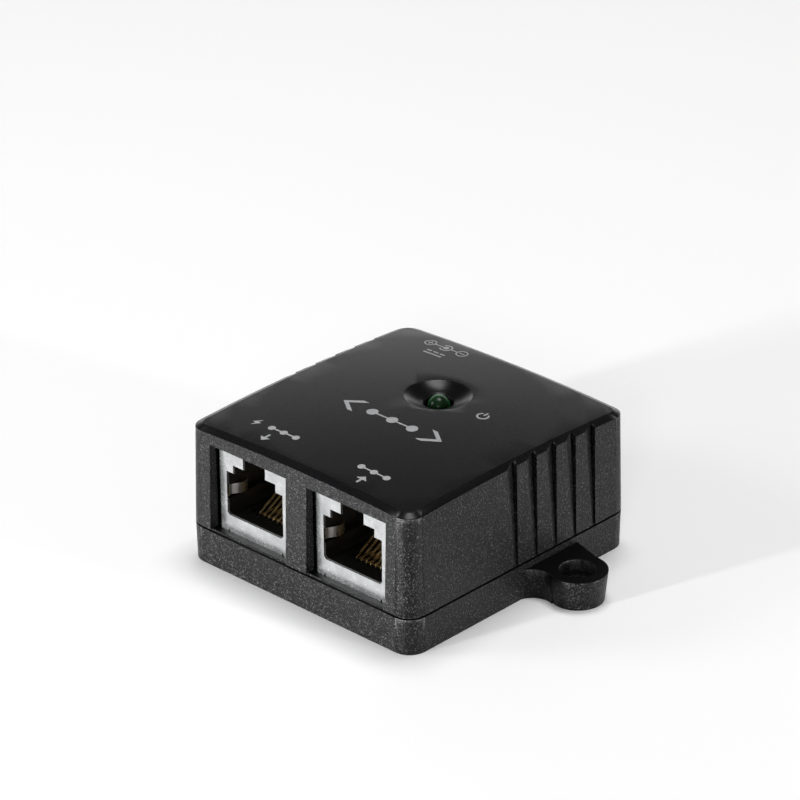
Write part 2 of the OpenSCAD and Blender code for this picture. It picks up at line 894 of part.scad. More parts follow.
module transformer_legs() {
    leg_n = 12;
    leg_pitch = 1.1;
    leg_w = 0.45;
    leg_reach = 1.6;
    leg_h = 1.4;
    leg_t = 0.2;
    color(tin)
        for (i = [0 : leg_n - 1])
            for (turn = [90, -90])
                translate([trafo_x + (i - (leg_n - 1) / 2) * leg_pitch, trafo_y, board_top_z])
                    rotate([0, 0, turn])
                        translate([trafo_half_y, 0, 0])
                            bent_leg(leg_w, leg_reach, leg_h, leg_t);
}

module bulk_capacitor() {
    vent_w = 0.35;
    vent_depth = 0.2;
    lead_r = 0.3;
    color([0.78, 0.78, 0.8]) {
        difference() {
            post(cap_x, cap_y, board_top_z + cap_stand, board_top_z + cap_h, cap_r);
            for (turn = [0, 90])
                translate([cap_x, cap_y, board_top_z + cap_h])
                    rotate([0, 0, turn])
                        cube([1.4 * cap_r, vent_w, 2 * vent_depth], center = true);
        }
        for (y = [-cap_lead_gap, cap_lead_gap])
            post(cap_x, cap_y + y, lead_low_z, board_top_z + cap_stand + vent_depth, lead_r);
    }
}

module capacitor_sleeve() {
    film_t = 0.15;
    bare_top = 0.35;
    color([0.05, 0.06, 0.12])
        difference() {
            post(cap_x, cap_y, board_top_z + cap_stand, board_top_z + cap_h - bare_top, cap_r + film_t);
            post(cap_x, cap_y, board_top_z - over, board_top_z + cap_h + over, cap_r);
        }
}

module inductor_core() {
    corner = 1.2;
    color(ferrite)
        difference() {
            rounded_block(coil_x - coil_half, coil_x + coil_half, coil_y - coil_half, coil_y + coil_half,
                          board_top_z, board_top_z + coil_h, corner);
            difference() {
                post(coil_x, coil_y, board_top_z + coil_flange_low, board_top_z + coil_h - coil_flange_high,
                     coil_half + coil_core_r);
                post(coil_x, coil_y, board_top_z, board_top_z + coil_h, coil_core_r);
            }
        }
}

module inductor_winding() {
    rings = 5;
    wound_h = coil_h - coil_flange_low - coil_flange_high;
    wound_r = coil_half - 0.55;
    wire_dip = 0.2;
    color([0.72, 0.36, 0.16])
        translate([coil_x, coil_y, board_top_z + coil_flange_low])
            difference() {
                union() {
                    cylinder(h = wound_h, r = wound_r - wire_dip);
                    for (i = [0 : rings - 1])
                        translate([0, 0, wound_h / rings * (i + 0.5)])
                            cylinder(h = wound_h / rings * 0.6, r = wound_r, center = true);
                }
                translate([0, 0, -over])
                    cylinder(h = coil_h + over, r = coil_core_r);
            }
}

module controller_chip() {
    stand = 0.15;
    body_t = 1.5;
    dot_in = 0.8;
    dot_r = 0.35;
    color(chip_black)
        difference() {
            block(chip_x - chip_half_x, chip_x + chip_half_x, chip_y - chip_half_y, chip_y + chip_half_y,
                  board_top_z + stand, board_top_z + stand + body_t);
            pin_one_dot(chip_x - chip_half_x + dot_in, chip_y - chip_half_y + dot_in,
                        board_top_z + stand + body_t, dot_r);
        }
}

module controller_legs() {
    leg_n = 7;
    leg_pitch = 1.27;
    leg_w = 0.4;
    leg_reach = 1.5;
    leg_h = 0.9;
    leg_t = 0.2;
    color(tin)
        for (i = [0 : leg_n - 1])
            for (turn = [90, -90])
                translate([chip_x + (i - (leg_n - 1) / 2) * leg_pitch, chip_y, board_top_z])
                    rotate([0, 0, turn])
                        translate([chip_half_y, 0, 0])
                            bent_leg(leg_w, leg_reach, leg_h, leg_t);
}

// power switch package: body on a wide rear pad, with two short legs in front
module power_switch() {
    half_x = 3.25;
    half_y = 3;
    stand = 0.1;
    top = 2.4;
    pad_half = 2.7;
    pad_out = 1.1;
    pad_t = 0.6;
    leg_x = 2.28;
    leg_half = 0.4;
    leg_out = 2.4;
    bite = 0.1;
    color(chip_black)
        translate([switch_x, switch_y, board_top_z]) {
            block(-half_x, half_x, -half_y, half_y, stand, top);
            block(-pad_half, pad_half, half_y - bite, half_y + pad_out, 0, pad_t);
            for (x = [-leg_x, leg_x])
                block(x - leg_half, x + leg_half, -half_y - leg_out, -half_y + bite, 0, pad_t);
        }
}

module input_fuse() {
    half_x = 1.6;
    half_y = 2.6;
    cap_out = 0.5;
    stand = 0.1;
    top = 1.2;
    cap_top = 1.3;
    color([0.2, 0.45, 0.25])
        translate([fuse_x, fuse_y, board_top_z]) {
            block(-half_x, half_x, -half_y, half_y, stand, top);
            for (side = [0, 1])
                mirror([0, side, 0])
                    block(-half_x, half_x, half_y, half_y + cap_out, 0, cap_top);
        }
}

module surge_diode() {
    half_x = 1.8;
    half_y = 2.3;
    end_half = 1;
    end_out = 0.5;
    end_top = 1.2;
    stand = 0.2;
    top = 2.3;
    color(chip_black)
        translate([diode_x, diode_y, board_top_z]) {
            block(-half_x, half_x, -half_y, half_y, stand, top);
            for (side = [0, 1])
                mirror([0, side, 0])
                    block(-end_half, end_half, half_y, half_y + end_out, 0, end_top);
        }
}

module chip_capacitors() {
    half_x = 0.65;
    half_y = 1.1;
    top = 1.2;
    color(ceramic)
        for (p = small_cap_spots)
            translate([p[0], p[1], board_top_z])
                block(-half_x, half_x, -half_y, half_y, 0, top);
}

module chip_resistors() {
    half_x = 1;
    half_y = 0.6;
    top = 0.55;
    color(chip_black)
        for (p = small_res_spots)
            translate([p[0], p[1], board_top_z])
                block(-half_x, half_x, -half_y, half_y, 0, top);
}

top_cover();
base_tray();
case_screws();
rating_label();
circuit_board();
out_jack_housing();
out_jack_shield();
out_jack_leads();
out_contact_springs();
out_ground_tab_left();
out_ground_tab_right();
in_jack_housing();
in_jack_shield();
in_jack_leads();
in_contact_springs();
in_ground_tab_left();
in_ground_tab_right();
dc_jack_housing();
dc_center_pin();
dc_sleeve_spring();
dc_terminals();
status_lamp();
lamp_leads();
lamp_spacer();
lan_transformer();
transformer_legs();
bulk_capacitor();
capacitor_sleeve();
inductor_core();
inductor_winding();
controller_chip();
controller_legs();
power_switch();
input_fuse();
surge_diode();
chip_capacitors();
chip_resistors();
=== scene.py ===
import math

import bmesh
import bpy
from mathutils import Matrix, Vector


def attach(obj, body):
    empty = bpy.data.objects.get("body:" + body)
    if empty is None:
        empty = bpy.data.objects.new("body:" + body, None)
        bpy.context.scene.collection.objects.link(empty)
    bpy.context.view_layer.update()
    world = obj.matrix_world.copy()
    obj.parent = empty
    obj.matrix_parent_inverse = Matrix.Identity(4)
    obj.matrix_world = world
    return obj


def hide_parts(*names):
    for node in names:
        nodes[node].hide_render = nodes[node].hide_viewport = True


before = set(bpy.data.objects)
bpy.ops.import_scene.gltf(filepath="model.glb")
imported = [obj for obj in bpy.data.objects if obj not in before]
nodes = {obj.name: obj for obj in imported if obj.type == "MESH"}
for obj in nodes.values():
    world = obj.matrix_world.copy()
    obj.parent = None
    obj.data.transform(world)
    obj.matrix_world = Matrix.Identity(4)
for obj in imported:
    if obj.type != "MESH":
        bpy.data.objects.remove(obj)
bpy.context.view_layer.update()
MM = 0.001

# ---------------------------------------------------------------- dimensions, millimetres
CROWN_TOP, CROWN_R = 24.6, 400.0
JACK_X = 10.45
JACK_FACE = -23.31
TAB_LOW, TAB_HIGH = 12.25, 14.05


# ---------------------------------------------------------------- material tools
class Mat:
    """A node material: short calls for the nodes that every finish here uses."""

    def __init__(self, name, **shader):
        self.m = bpy.data.materials.new(name)
        self.m.use_nodes = True
        self.t = self.m.node_tree
        self.b = self.t.nodes["Principled BSDF"]
        for key, value in shader.items():
            self.b.inputs[key.replace("_", " ")].default_value = value
        self.coord = self.t.nodes.new("ShaderNodeTexCoord")

    def node(self, kind, props=None, **inputs):
        n = self.t.nodes.new("ShaderNode" + kind)
        for key, value in (props or {}).items():
            setattr(n, key, value)
        for key, value in inputs.items():
            self.put(n.inputs[key.replace("_", " ")], value)
        return n

    def put(self, socket, value):
        if isinstance(value, bpy.types.NodeSocket):
            self.t.links.new(value, socket)
        else:
            socket.default_value = value

    def place(self, scale):
        n = self.node("Mapping", Vector=self.coord.outputs["Object"])
        n.inputs["Scale"].default_value = scale
        return n.outputs[0]

    def noise(self, scale, detail=2.0, rough=0.5, where=None):
        n = self.node("TexNoise", Scale=scale, Detail=detail, Roughness=rough,
                      Vector=where or self.coord.outputs["Object"])
        return n.outputs["Fac"]

    def span(self, value, a, b, c=0.0, d=1.0):
        n = self.node("MapRange", {"clamp": True}, Value=value)
        for key, v in zip(("From Min", "From Max", "To Min", "To Max"), (a, b, c, d)):
            self.put(n.inputs[key], v)
        return n.outputs[0]

    def math(self, op, a, b=0.0):
        n = self.node("Math", {"operation": op})
        self.put(n.inputs[0], a)
        self.put(n.inputs[1], b)
        return n.outputs[0]

    def mix(self, fac, a, b):
        n = self.node("Mix", {"data_type": "RGBA"})
        self.put(n.inputs[0], fac)
        self.put(n.inputs[6], a)
        self.put(n.inputs[7], b)
        return n.outputs[2]

    def blend(self, fac, a, b):
        n = self.node("Mix", {"data_type": "FLOAT"})
        self.put(n.inputs[0], fac)
        self.put(n.inputs[2], a)
        self.put(n.inputs[3], b)
        return n.outputs[0]

    def bump(self, height, distance, strength=1.0):
        n = self.node("Bump", Height=height, Distance=distance, Strength=strength)
        return n.outputs[0]

    def sets(self, **inputs):
        for key, value in inputs.items():
            self.put(self.b.inputs[key.replace("_", " ")], value)
        return self.m


def grey(v):
    return (v, v, v, 1.0)


def case_plastic():
    """Black moulded plastic: spark-eroded texture on the walls, satin crown, polished band between them."""
    k = Mat("case_plastic", IOR=1.5, Specular_IOR_Level=0.17)
    up = k.node("SeparateXYZ", Vector=k.coord.outputs["Normal"]).outputs["Z"]
    steep = k.span(up, 0.35, 0.6, 1.0, 0.0)
    flat = k.span(up, 0.93, 0.985)
    grain = k.noise(3300.0, 2.0, 0.65)
    spark = k.noise(5400.0, 2.0, 0.7)
    rough_skin = k.math("ADD", grain, k.math("MULTIPLY", spark, 0.35))
    satin = k.noise(4200.0, 2.0, 0.6)
    height = k.math("ADD", k.math("MULTIPLY", rough_skin, k.math("MULTIPLY", steep, 0.5)),
                    k.math("MULTIPLY", k.math("MULTIPLY", satin, flat), 0.14))
    # painted glints: light specks in the wall colour stand in for tiny eroded facets catching the light
    speckle = k.math("ADD", k.math("MULTIPLY", grain, 0.45), k.math("MULTIPLY", spark, 0.55))
    glint_paint = k.span(speckle, 0.535, 0.66)
    cloud = k.noise(90.0, 3.0, 0.55)
    base = k.mix(glint_paint, (0.0012, 0.0012, 0.0014, 1), (0.075, 0.075, 0.077, 1))
    smooth_base = k.mix(k.span(satin, 0.4, 0.62), (0.0014, 0.0014, 0.0017, 1), (0.004, 0.004, 0.0044, 1))
    colour = k.mix(steep, smooth_base, base)
    # painted highlight: where the walls turn into the band the colour is lightened in specks, standing in for
    # the crest's catch-light
    crest = k.math("MULTIPLY", k.span(up, 0.12, 0.3), k.span(up, 0.5, 0.66, 1.0, 0.0))
    crest_highlight_paint = k.math("MULTIPLY", crest, k.span(grain, 0.3, 0.55))
    colour = k.mix(crest_highlight_paint, colour, (0.08, 0.08, 0.082, 1))
    r_side = k.span(spark, 0.38, 0.62, 0.46, 0.3)
    r_top = k.span(satin, 0.3, 0.7, 0.36, 0.27)
    r_band = k.span(cloud, 0.3, 0.7, 0.3, 0.24)
    rough = k.blend(steep, k.blend(flat, r_band, r_top), r_side)
    return k.sets(Base_Color=colour, Roughness=rough, Normal=k.bump(height, 0.00016, 1.0))


def moulded(name, dark, light, rough=0.45, grain=2500.0, depth=0.00003):
    k = Mat(name, IOR=1.5)
    skin = k.noise(grain, 3.0, 0.6)
    cloud = k.noise(grain * 0.04, 2.0, 0.5)
    colour = k.mix(k.span(k.math("ADD", skin, cloud), 0.7, 1.3), dark, light)
    return k.sets(Base_Color=colour, Roughness=k.span(skin, 0.3, 0.7, rough + 0.06, rough - 0.06),
                  Normal=k.bump(skin, depth, 0.7))


def plated(name, dark, light, rough=0.3, stretch=(1, 1, 1), grain=900.0, depth=0.000012, spread=0.08):
    """Plated sheet or wire: rolling marks drawn out along one way, with faint cloudy tarnish."""
    k = Mat(name, Metallic=1.0)
    drawn = k.noise(grain, 3.0, 0.6, where=k.place(stretch))
    cloud = k.noise(260.0, 3.0, 0.6)
    colour = k.mix(k.span(cloud, 0.3, 0.7), dark, light)
    sheen = k.math("ADD", k.math("MULTIPLY", drawn, 0.6), k.math("MULTIPLY", cloud, 0.4))
    return k.sets(Base_Color=colour, Roughness=k.span(sheen, 0.3, 0.7, rough - spread, rough + spread),
                  Normal=k.bump(drawn, depth, 0.6))


def lamp_resin():
    """Tinted clear resin: dark in the body, greener where the light gathers at the rim."""
    k = Mat("lamp_resin", IOR=1.5, Transmission_Weight=0.3, Specular_IOR_Level=0.12)
    cloud = k.noise(700.0, 2.0, 0.5)
    # painted rim light: the colour turns greener toward the lamp's outline as seen, standing in for light
    # gathered at the rim; the cloud adds random tint
    rim = k.node("LayerWeight", Blend=0.35).outputs["Facing"]
    depth = k.math("ADD", k.math("MULTIPLY", cloud, 0.2), k.span(rim, 0.3, 0.95))
    colour = k.mix(depth, (0.001, 0.008, 0.0025, 1), (0.04, 0.26, 0.06, 1))
    return k.sets(Base_Color=colour, Roughness=k.span(cloud, 0.3, 0.7, 0.24, 0.32),
                  Normal=k.bump(cloud, 0.00001, 0.15))


def board_mask():
    k = Mat("board", IOR=1.5)
    weave = k.node("TexWave", {"bands_direction": "X"}, Scale=620.0, Distortion=1.2,
                   Vector=k.coord.outputs["Object"]).outputs["Fac"]
    track = k.node("TexBrick", Scale=210.0, Vector=k.coord.outputs["Object"])
    track.inputs["Mortar Size"].default_value = 0.035
    track.inputs["Color1"].default_value = grey(0.0)
    track.inputs["Color2"].default_value = grey(0.0)
    track.inputs["Mortar"].default_value = grey(1.0)
    copper = track.outputs["Fac"]
    colour = k.mix(copper, (0.008, 0.075, 0.03, 1), (0.02, 0.16, 0.06, 1))
    return k.sets(Base_Color=colour, Roughness=k.span(weave, 0.0, 1.0, 0.3, 0.42),
                  Normal=k.bump(k.math("ADD", k.math("MULTIPLY", weave, 0.2), copper), 0.00004, 0.6))


def film():
    k = Mat("label_film", IOR=1.5)
    fibre = k.noise(1800.0, 4.0, 0.6)
    colour = k.mix(fibre, (0.52, 0.53, 0.53, 1), (0.62, 0.62, 0.61, 1))
    return k.sets(Base_Color=colour, Roughness=k.span(fibre, 0.3, 0.7, 0.38, 0.5),
                  Normal=k.bump(fibre, 0.00001, 0.4))


def ink():
    k = Mat("legend_ink", IOR=1.5)
    speck = k.noise(3600.0, 2.0, 0.6)
    colour = k.mix(k.span(speck, 0.3, 0.62), (0.27, 0.275, 0.28, 1), (0.4, 0.4, 0.41, 1))
    return k.sets(Base_Color=colour, Roughness=k.span(speck, 0.3, 0.7, 0.55, 0.7),
                  Normal=k.bump(speck, 0.00001, 0.3))


def ceramic(name, dark, light, rough=0.35):
    return moulded(name, dark, light, rough, 4200.0, 0.000012)


def wound():
    """Enamelled wire laid side by side round the core."""
    k = Mat("copper_wire", Metallic=1.0)
    turns = k.node("TexWave", {"bands_direction": "DIAGONAL"}, Scale=420.0, Distortion=0.6,
                   Vector=k.coord.outputs["Object"]).outputs["Fac"]
    # painted shade and highlight: the copper is darker in the grooves between turns and lighter on their
    # crests, following the bump
    colour = k.mix(turns, (0.24, 0.07, 0.02, 1), (0.72, 0.3, 0.12, 1))
    return k.sets(Base_Color=colour, Roughness=k.span(turns, 0.0, 1.0, 0.45, 0.22),
                  Normal=k.bump(turns, 0.00012, 0.9))


paint = {
    "case": case_plastic(),
    "insert": moulded("jack_plastic", (0.003, 0.0027, 0.0025, 1), (0.0065, 0.006, 0.0055, 1), 0.4),
    "shield": plated("shield_metal", (0.4, 0.41, 0.415, 1), (0.56, 0.57, 0.575, 1), 0.26, (1, 1, 1.6), 1500.0,
                     0.000006, 0.04),
    "finger": plated("tab_metal", (0.5, 0.48, 0.45, 1), (0.66, 0.63, 0.59, 1), 0.34, (1, 1, 0.15), 2600.0),
    "gold": plated("contact_gold", (0.7, 0.48, 0.2, 1), (0.95, 0.74, 0.38, 1), 0.3, (1, 0.3, 0.3), 2000.0,
                   0.000006),
    "tin": plated("tinned", (0.55, 0.56, 0.55, 1), (0.72, 0.72, 0.71, 1), 0.32, (1, 1, 0.3)),
    "screw": plated("screw_steel", (0.3, 0.3, 0.31, 1), (0.46, 0.46, 0.48, 1), 0.3, (1, 1, 1), 2200.0),
    "film": film(),
    "board": board_mask(),
    "lamp": lamp_resin(),
    "nylon": moulded("spacer_nylon", (0.62, 0.62, 0.58, 1), (0.72, 0.72, 0.69, 1), 0.4),
    "chip": moulded("chip_plastic", (0.014, 0.014, 0.015, 1), (0.03, 0.03, 0.031, 1), 0.5, 3800.0, 0.00002),
    "can": plated("can_aluminium", (0.6, 0.61, 0.62, 1), (0.78, 0.78, 0.79, 1), 0.28, (1, 1, 0.2), 1500.0),
    "sleeve": moulded("sleeve_film", (0.006, 0.009, 0.03, 1), (0.012, 0.02, 0.06, 1), 0.22, 900.0, 0.000012),
    "ferrite": ceramic("ferrite", (0.03, 0.03, 0.032, 1), (0.055, 0.055, 0.057, 1), 0.5),
    "wire": wound(),
    "ceramic": ceramic("ceramic", (0.33, 0.23, 0.14, 1), (0.48, 0.36, 0.24, 1)),
    "ink": ink(),
}

FINISH = {
    "top_cover": "case", "base_tray": "case", "case_screws": "screw", "rating_label": "film",
    "circuit_board": "board", "dc_jack_housing": "insert", "dc_center_pin": "tin",
    "dc_sleeve_spring": "tin", "dc_terminals": "tin", "status_lamp": "lamp", "lamp_leads": "tin",
    "lamp_spacer": "nylon", "lan_transformer": "chip", "transformer_legs": "tin",
    "bulk_capacitor": "can", "capacitor_sleeve": "sleeve", "inductor_core": "ferrite",
    "inductor_winding": "wire", "controller_chip": "chip", "controller_legs": "tin",
    "power_switch": "chip", "input_fuse": "ceramic", "surge_diode": "chip",
    "chip_capacitors": "ceramic", "chip_resistors": "chip",
}
for jack in ("out", "in"):
    FINISH[jack + "_jack_housing"] = "insert"
    FINISH[jack + "_jack_shield"] = "shield"
    FINISH[jack + "_jack_leads"] = "gold"
    FINISH[jack + "_contact_springs"] = "gold"
    for hand in ("left", "right"):
        FINISH[jack + "_ground_tab_" + hand] = "shield"


def dress(obj, finish):
    obj.data.materials.clear()
    obj.data.materials.append(paint[finish])


WELD_GAP = 0.002    # millimetres
EDGE_SEGMENTS = 2
CASE_ANGLE = 16.0   # degrees: rounds the lid's shallow crease too


def soften(obj, width, angle):
    """Small round on every real edge, so that edges catch the light."""
    weld = obj.modifiers.new("weld", "WELD")
    weld.merge_threshold = WELD_GAP * MM
    b = obj.modifiers.new("edge_round", "BEVEL")
    b.width = width * MM
    b.segments = EDGE_SEGMENTS
    b.limit_method = "ANGLE"
    b.angle_limit = math.radians(angle)
    b.harden_normals = True
    b.use_clamp_overlap = True


for name, obj in nodes.items():
    dress(obj, FINISH[name])

soften(nodes["top_cover"], 0.2, CASE_ANGLE)
soften(nodes["base_tray"], 0.15, CASE_ANGLE)


# ---------------------------------------------------------------- jack wires and side fingers
def finished(name, bm, finish, body, slot, *hidden):
    bmesh.ops.recalc_face_normals(bm, faces=bm.faces)
    mesh = bpy.data.meshes.new(name)
    bm.to_mesh(mesh)
    bm.free()
    for face in mesh.polygons:
        face.use_smooth = True
    obj = bpy.data.objects.new(name, mesh)
    bpy.context.scene.collection.objects.link(obj)
    dress(obj, finish)
    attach(obj, body)
    if hidden:
        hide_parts(*hidden)
    return obj


END_TAPER = 0.6    # a wire's end ring against its full radius


def tube(bm, x, path, radius, sides=12):
    """Round wire whose centre line lies in one upright plane: path holds (y, z) points, millimetres."""
    rings = []
    for i, (y, z) in enumerate(path):
        ay, az = path[max(i - 1, 0)]
        by, bz = path[min(i + 1, len(path) - 1)]
        run = math.hypot(by - ay, bz - az)
        ny, nz = -(bz - az) / run, (by - ay) / run
        grow = END_TAPER if i in (0, len(path) - 1) else 1.0
        ring = []
        for k in range(sides):
            a = 2 * math.pi * k / sides
            across, out = grow * radius * math.cos(a), grow * radius * math.sin(a)
            ring.append(bm.verts.new(((x + across) * MM, (y + ny * out) * MM, (z + nz * out) * MM)))
        rings.append(ring)
    for low, high in zip(rings, rings[1:]):
        for k in range(sides):
            bm.faces.new((low[k], low[(k + 1) % sides], high[(k + 1) % sides], high[k]))
    bm.faces.new(list(reversed(rings[0])))
    bm.faces.new(rings[-1])


BEND_Y, BEND_Z, BEND_MID = -18.6, 8.45, 0.27
WIRE_R, PITCH, SLOPE = 0.2, 1.016, math.radians(31)
ROW_A, ROW_B, LEAD_LOW = -9.6, -12.2, 2.7


def bend_point(angle, r=BEND_MID):
    return BEND_Y + r * math.cos(angle), BEND_Z + r * math.sin(angle)


def spring_path():
    start = SLOPE + math.pi / 2
    path = [bend_point(start + math.radians(d)) for d in (34, 24, 12, 0)]
    y, z = path[-1]
    for run in (0.4, 1.5, 3.0, 4.6, 6.2, 7.4, 7.9):
        path.append((y + run * math.cos(SLOPE), z - 0.02 * run + run * math.sin(SLOPE)))
    y, z = path[-1]
    for k, dip in enumerate((20, 9, 3, 3), 1):
        a = math.radians(dip)
        y, z = y + 0.32 * math.cos(a), z + 0.32 * math.sin(a)
        path.append((y, z))
    return path


def lead_path(row):
    bend = [bend_point(math.radians(d)) for d in range(270, 120, -15)]
    y, z = bend[0]
    down = [(row, LEAD_LOW), (row, 5.5), (row, z - 0.5), (row - 0.1, z - 0.18), (row - 0.35, z)]
    return down + [((row + y) / 2, z)] + bend


for jack, side in (("out", -1), ("in", 1)):
    springs, leads = bmesh.new(), bmesh.new()
    for i in range(8):
        x = side * JACK_X + (i - 3.5) * PITCH
        tube(springs, x, spring_path(), WIRE_R)
        tube(leads, x, lead_path(ROW_A if i % 2 == 0 else ROW_B), WIRE_R)
    finished(jack + "_wire_springs", springs, "gold", jack + "_contacts", "contact_gold",
             jack + "_contact_springs")
    finished(jack + "_wire_leads", leads, "gold", "case", "contact_gold", jack + "_jack_leads")

FINGER = [(6.45, 0.75), (6.42, 1.0), (6.3, 1.3), (6.08, 1.7), (5.84, 2.15), (5.66, 2.6), (5.58, 3.05),
          (5.62, 3.45), (5.76, 3.85), (5.98, 4.25), (6.2, 4.65)]
FINGER_HALF_T = 0.1
TIP_INSET = 0.14


def finger(name, jack_x, way, body, hidden):
    """Springy side finger of a shield, one smooth bowed strip."""
    bm = bmesh.new()
    columns = []
    for i, (x, y) in enumerate(FINGER):
        ax, ay = FINGER[max(i - 1, 0)]
        bx, by = FINGER[min(i + 1, len(FINGER) - 1)]
        run = math.hypot(bx - ax, by - ay)
        nx, ny = (by - ay) / run * FINGER_HALF_T, -(bx - ax) / run * FINGER_HALF_T
        inset = TIP_INSET if i == len(FINGER) - 1 else 0.0
        low_z, high_z = TAB_LOW + inset, TAB_HIGH - inset
        column = []
        for k, z in ((-1, low_z), (1, low_z), (1, high_z), (-1, high_z)):
            column.append(bm.verts.new(((jack_x + way * (x + k * nx)) * MM, (JACK_FACE + y + k * ny) * MM,
                                        z * MM)))
        columns.append(column)
    for low, high in zip(columns, columns[1:]):
        for k in range(4):
            bm.faces.new((low[k], low[(k + 1) % 4], high[(k + 1) % 4], high[k]))
    bm.faces.new(columns[0])
    bm.faces.new(columns[-1])
    strip = finished(name, bm, "finger", body, "shield_metal", hidden)
    soften(strip, 0.04, 50.0)


for jack, side in (("out", -1), ("in", 1)):
    for hand, way in (("left", -1), ("right", 1)):
        finger("%s_finger_%s" % (jack, hand), side * JACK_X, way, "%s_tab_%s" % (jack, hand),
               "%s_ground_tab_%s" % (jack, hand))


# ---------------------------------------------------------------- printed symbols
INK_OVER = 0.012    # millimetres that the ink stands above the lid
INK_UNDER = 0.02    # and that it reaches below the lid's surface


def crown(x, y):
    """Height of the domed lid, millimetres."""
    return CROWN_TOP - CROWN_R + math.sqrt(CROWN_R * CROWN_R - x * x - y * y)


def print_on_lid(name, outlines, where):
    """Thin ink: flat outlines in millimetres, laid on the domed lid at a place and a turn."""
    bm = bmesh.new()
    cx, cy, turn = where
    c, s = math.cos(turn), math.sin(turn)
    for ring in outlines:
        low = []
        for px, py in ring:
            x, y = cx + c * px - s * py, cy + s * px + c * py
            low.append((x, y))
        under = [bm.verts.new((x * MM, y * MM, (crown(x, y) - INK_UNDER) * MM)) for x, y in low]
        over = [bm.verts.new((x * MM, y * MM, (crown(x, y) + INK_OVER) * MM)) for x, y in low]
        bm.faces.new(over)
        bm.faces.new(list(reversed(under)))
        for i in range(len(low)):
            j = (i + 1) % len(low)
            bm.faces.new((under[i], under[j], over[j], over[i]))
    bmesh.ops.recalc_face_normals(bm, faces=bm.faces)
    mesh = bpy.data.meshes.new(name)
    bm.to_mesh(mesh)
    bm.free()
    obj = bpy.data.objects.new(name, mesh)
    bpy.context.scene.collection.objects.link(obj)
    dress(obj, "ink")
    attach(obj, "case")


def arc(r, a0, a1, steps):
    return [(r * math.cos(a0 + (a1 - a0) * i / steps), r * math.sin(a0 + (a1 - a0) * i / steps))
            for i in range(steps + 1)]


def disc(x, y, r, steps=20):
    return [(x + px, y + py) for px, py in arc(r, 0, 2 * math.pi * (1 - 1 / steps), steps - 1)]


def ring_parts(x, y, r, t, a0=0.0, a1=2 * math.pi, steps=24):
    """A ring or part of one as a run of small quads."""
    outer, inner = arc(r + t / 2, a0, a1, steps), arc(r - t / 2, a0, a1, steps)
    return [[(x + p[0], y + p[1]) for p in (inner[i], outer[i], outer[i + 1], inner[i + 1])]
            for i in range(steps)]


def bar(x0, y0, x1, y1):
    return [(x0, y0), (x1, y0), (x1, y1), (x0, y1)]


def chevron(x, way, half, run, t):
    """Angle bracket pointing left or right."""
    return [[(x, 0), (x + way * run, half), (x + way * (run + t), half), (x + way * t, 0)],
            [(x, 0), (x + way * t, 0), (x + way * (run + t), -half), (x + way * run, -half)]]


def moved(outlines, x, y):
    return [[(px + x, py + y) for px, py in ring] for ring in outlines]


def joined_dots():
    """Data line: three dots joined by two bars."""
    return [disc(x, 0, 0.62) for x in (-2.6, 0, 2.6)] + [bar(-1.98, -0.13, -0.62, 0.13),
                                                         bar(0.62, -0.13, 1.98, 0.13)]


def bolt():
    """Power: a plain zigzag flash."""
    return [[(0.4, 1.05), (-0.75, -0.15), (-0.05, -0.15), (-0.4, -1.05), (0.75, 0.15), (0.05, 0.15)]]


def arrow(way):
    """Arrow along y: 1 points to the rear, into the case, and -1 to the front, out of it."""
    return [[(x, way * y) for x, y in ring]
            for ring in (bar(-0.2, -1.0, 0.2, 0.05), [(-0.95, 0.05), (0.95, 0.05), (0, 1.0)])]


PORT_ROW = -18.15     # upper row of symbols behind each jack
ARROW_BELOW = -2.75   # from that row to the arrow
out_port = moved(bolt(), -4.6, 0) + moved(joined_dots(), 1.2, 0) + moved(arrow(-1), 0, ARROW_BELOW)
print_on_lid("symbol_out", out_port, (-10.2, PORT_ROW, 0.0))
print_on_lid("symbol_in", joined_dots() + moved(arrow(1), 0, ARROW_BELOW), (10.1, PORT_ROW, 0.0))

on_lamp = ring_parts(0, 0, 0.9, 0.3, math.radians(125), math.radians(415)) + [bar(-0.15, 0.25, 0.15, 1.25)]
print_on_lid("symbol_lamp", on_lamp, (10.0, 6.1, 0.0))

direct = [bar(-1.9, 0.3, 1.9, 0.62)] + [bar(x - 0.5, -0.62, x + 0.5, -0.3) for x in (-1.4, 0, 1.4)]
print_on_lid("symbol_power", direct, (-11.3, 17.9, math.pi))

network = chevron(-10.4, 1, 1.9, 2.6, 1.1) + chevron(10.4, -1, 1.9, 2.6, 1.1)
network += [disc(x, 0, 0.95) for x in (-4.2, 0, 4.2)]
network += [bar(-3.25, -0.14, -0.95, 0.14), bar(0.95, -0.14, 3.25, 0.14)]
print_on_lid("network_symbol", network, (0.85, -4.5, 0.0))

POLE, LINE = 3.4, 0.11   # centre of the two end circles, half the width of a line
SIGN = 0.55              # half the length of a plus or minus bar
polarity = ring_parts(0, 0, 1.0, 0.28, math.radians(35), math.radians(325)) + [disc(0, 0, 0.5)]
polarity += ring_parts(-POLE, 0, 0.95, 2 * LINE) + ring_parts(POLE, 0, 0.95, 2 * LINE)
polarity += [bar(-2.45, -LINE, -1.14, LINE), bar(0.5, -LINE, 2.45, LINE)]
polarity += [bar(x - SIGN, -LINE, x + SIGN, LINE) for x in (-POLE, POLE)]
polarity += [bar(POLE - LINE, LINE, POLE + LINE, SIGN), bar(POLE - LINE, -SIGN, POLE + LINE, -LINE)]
print_on_lid("polarity_symbol", polarity, (-11.3, 20.8, math.pi))


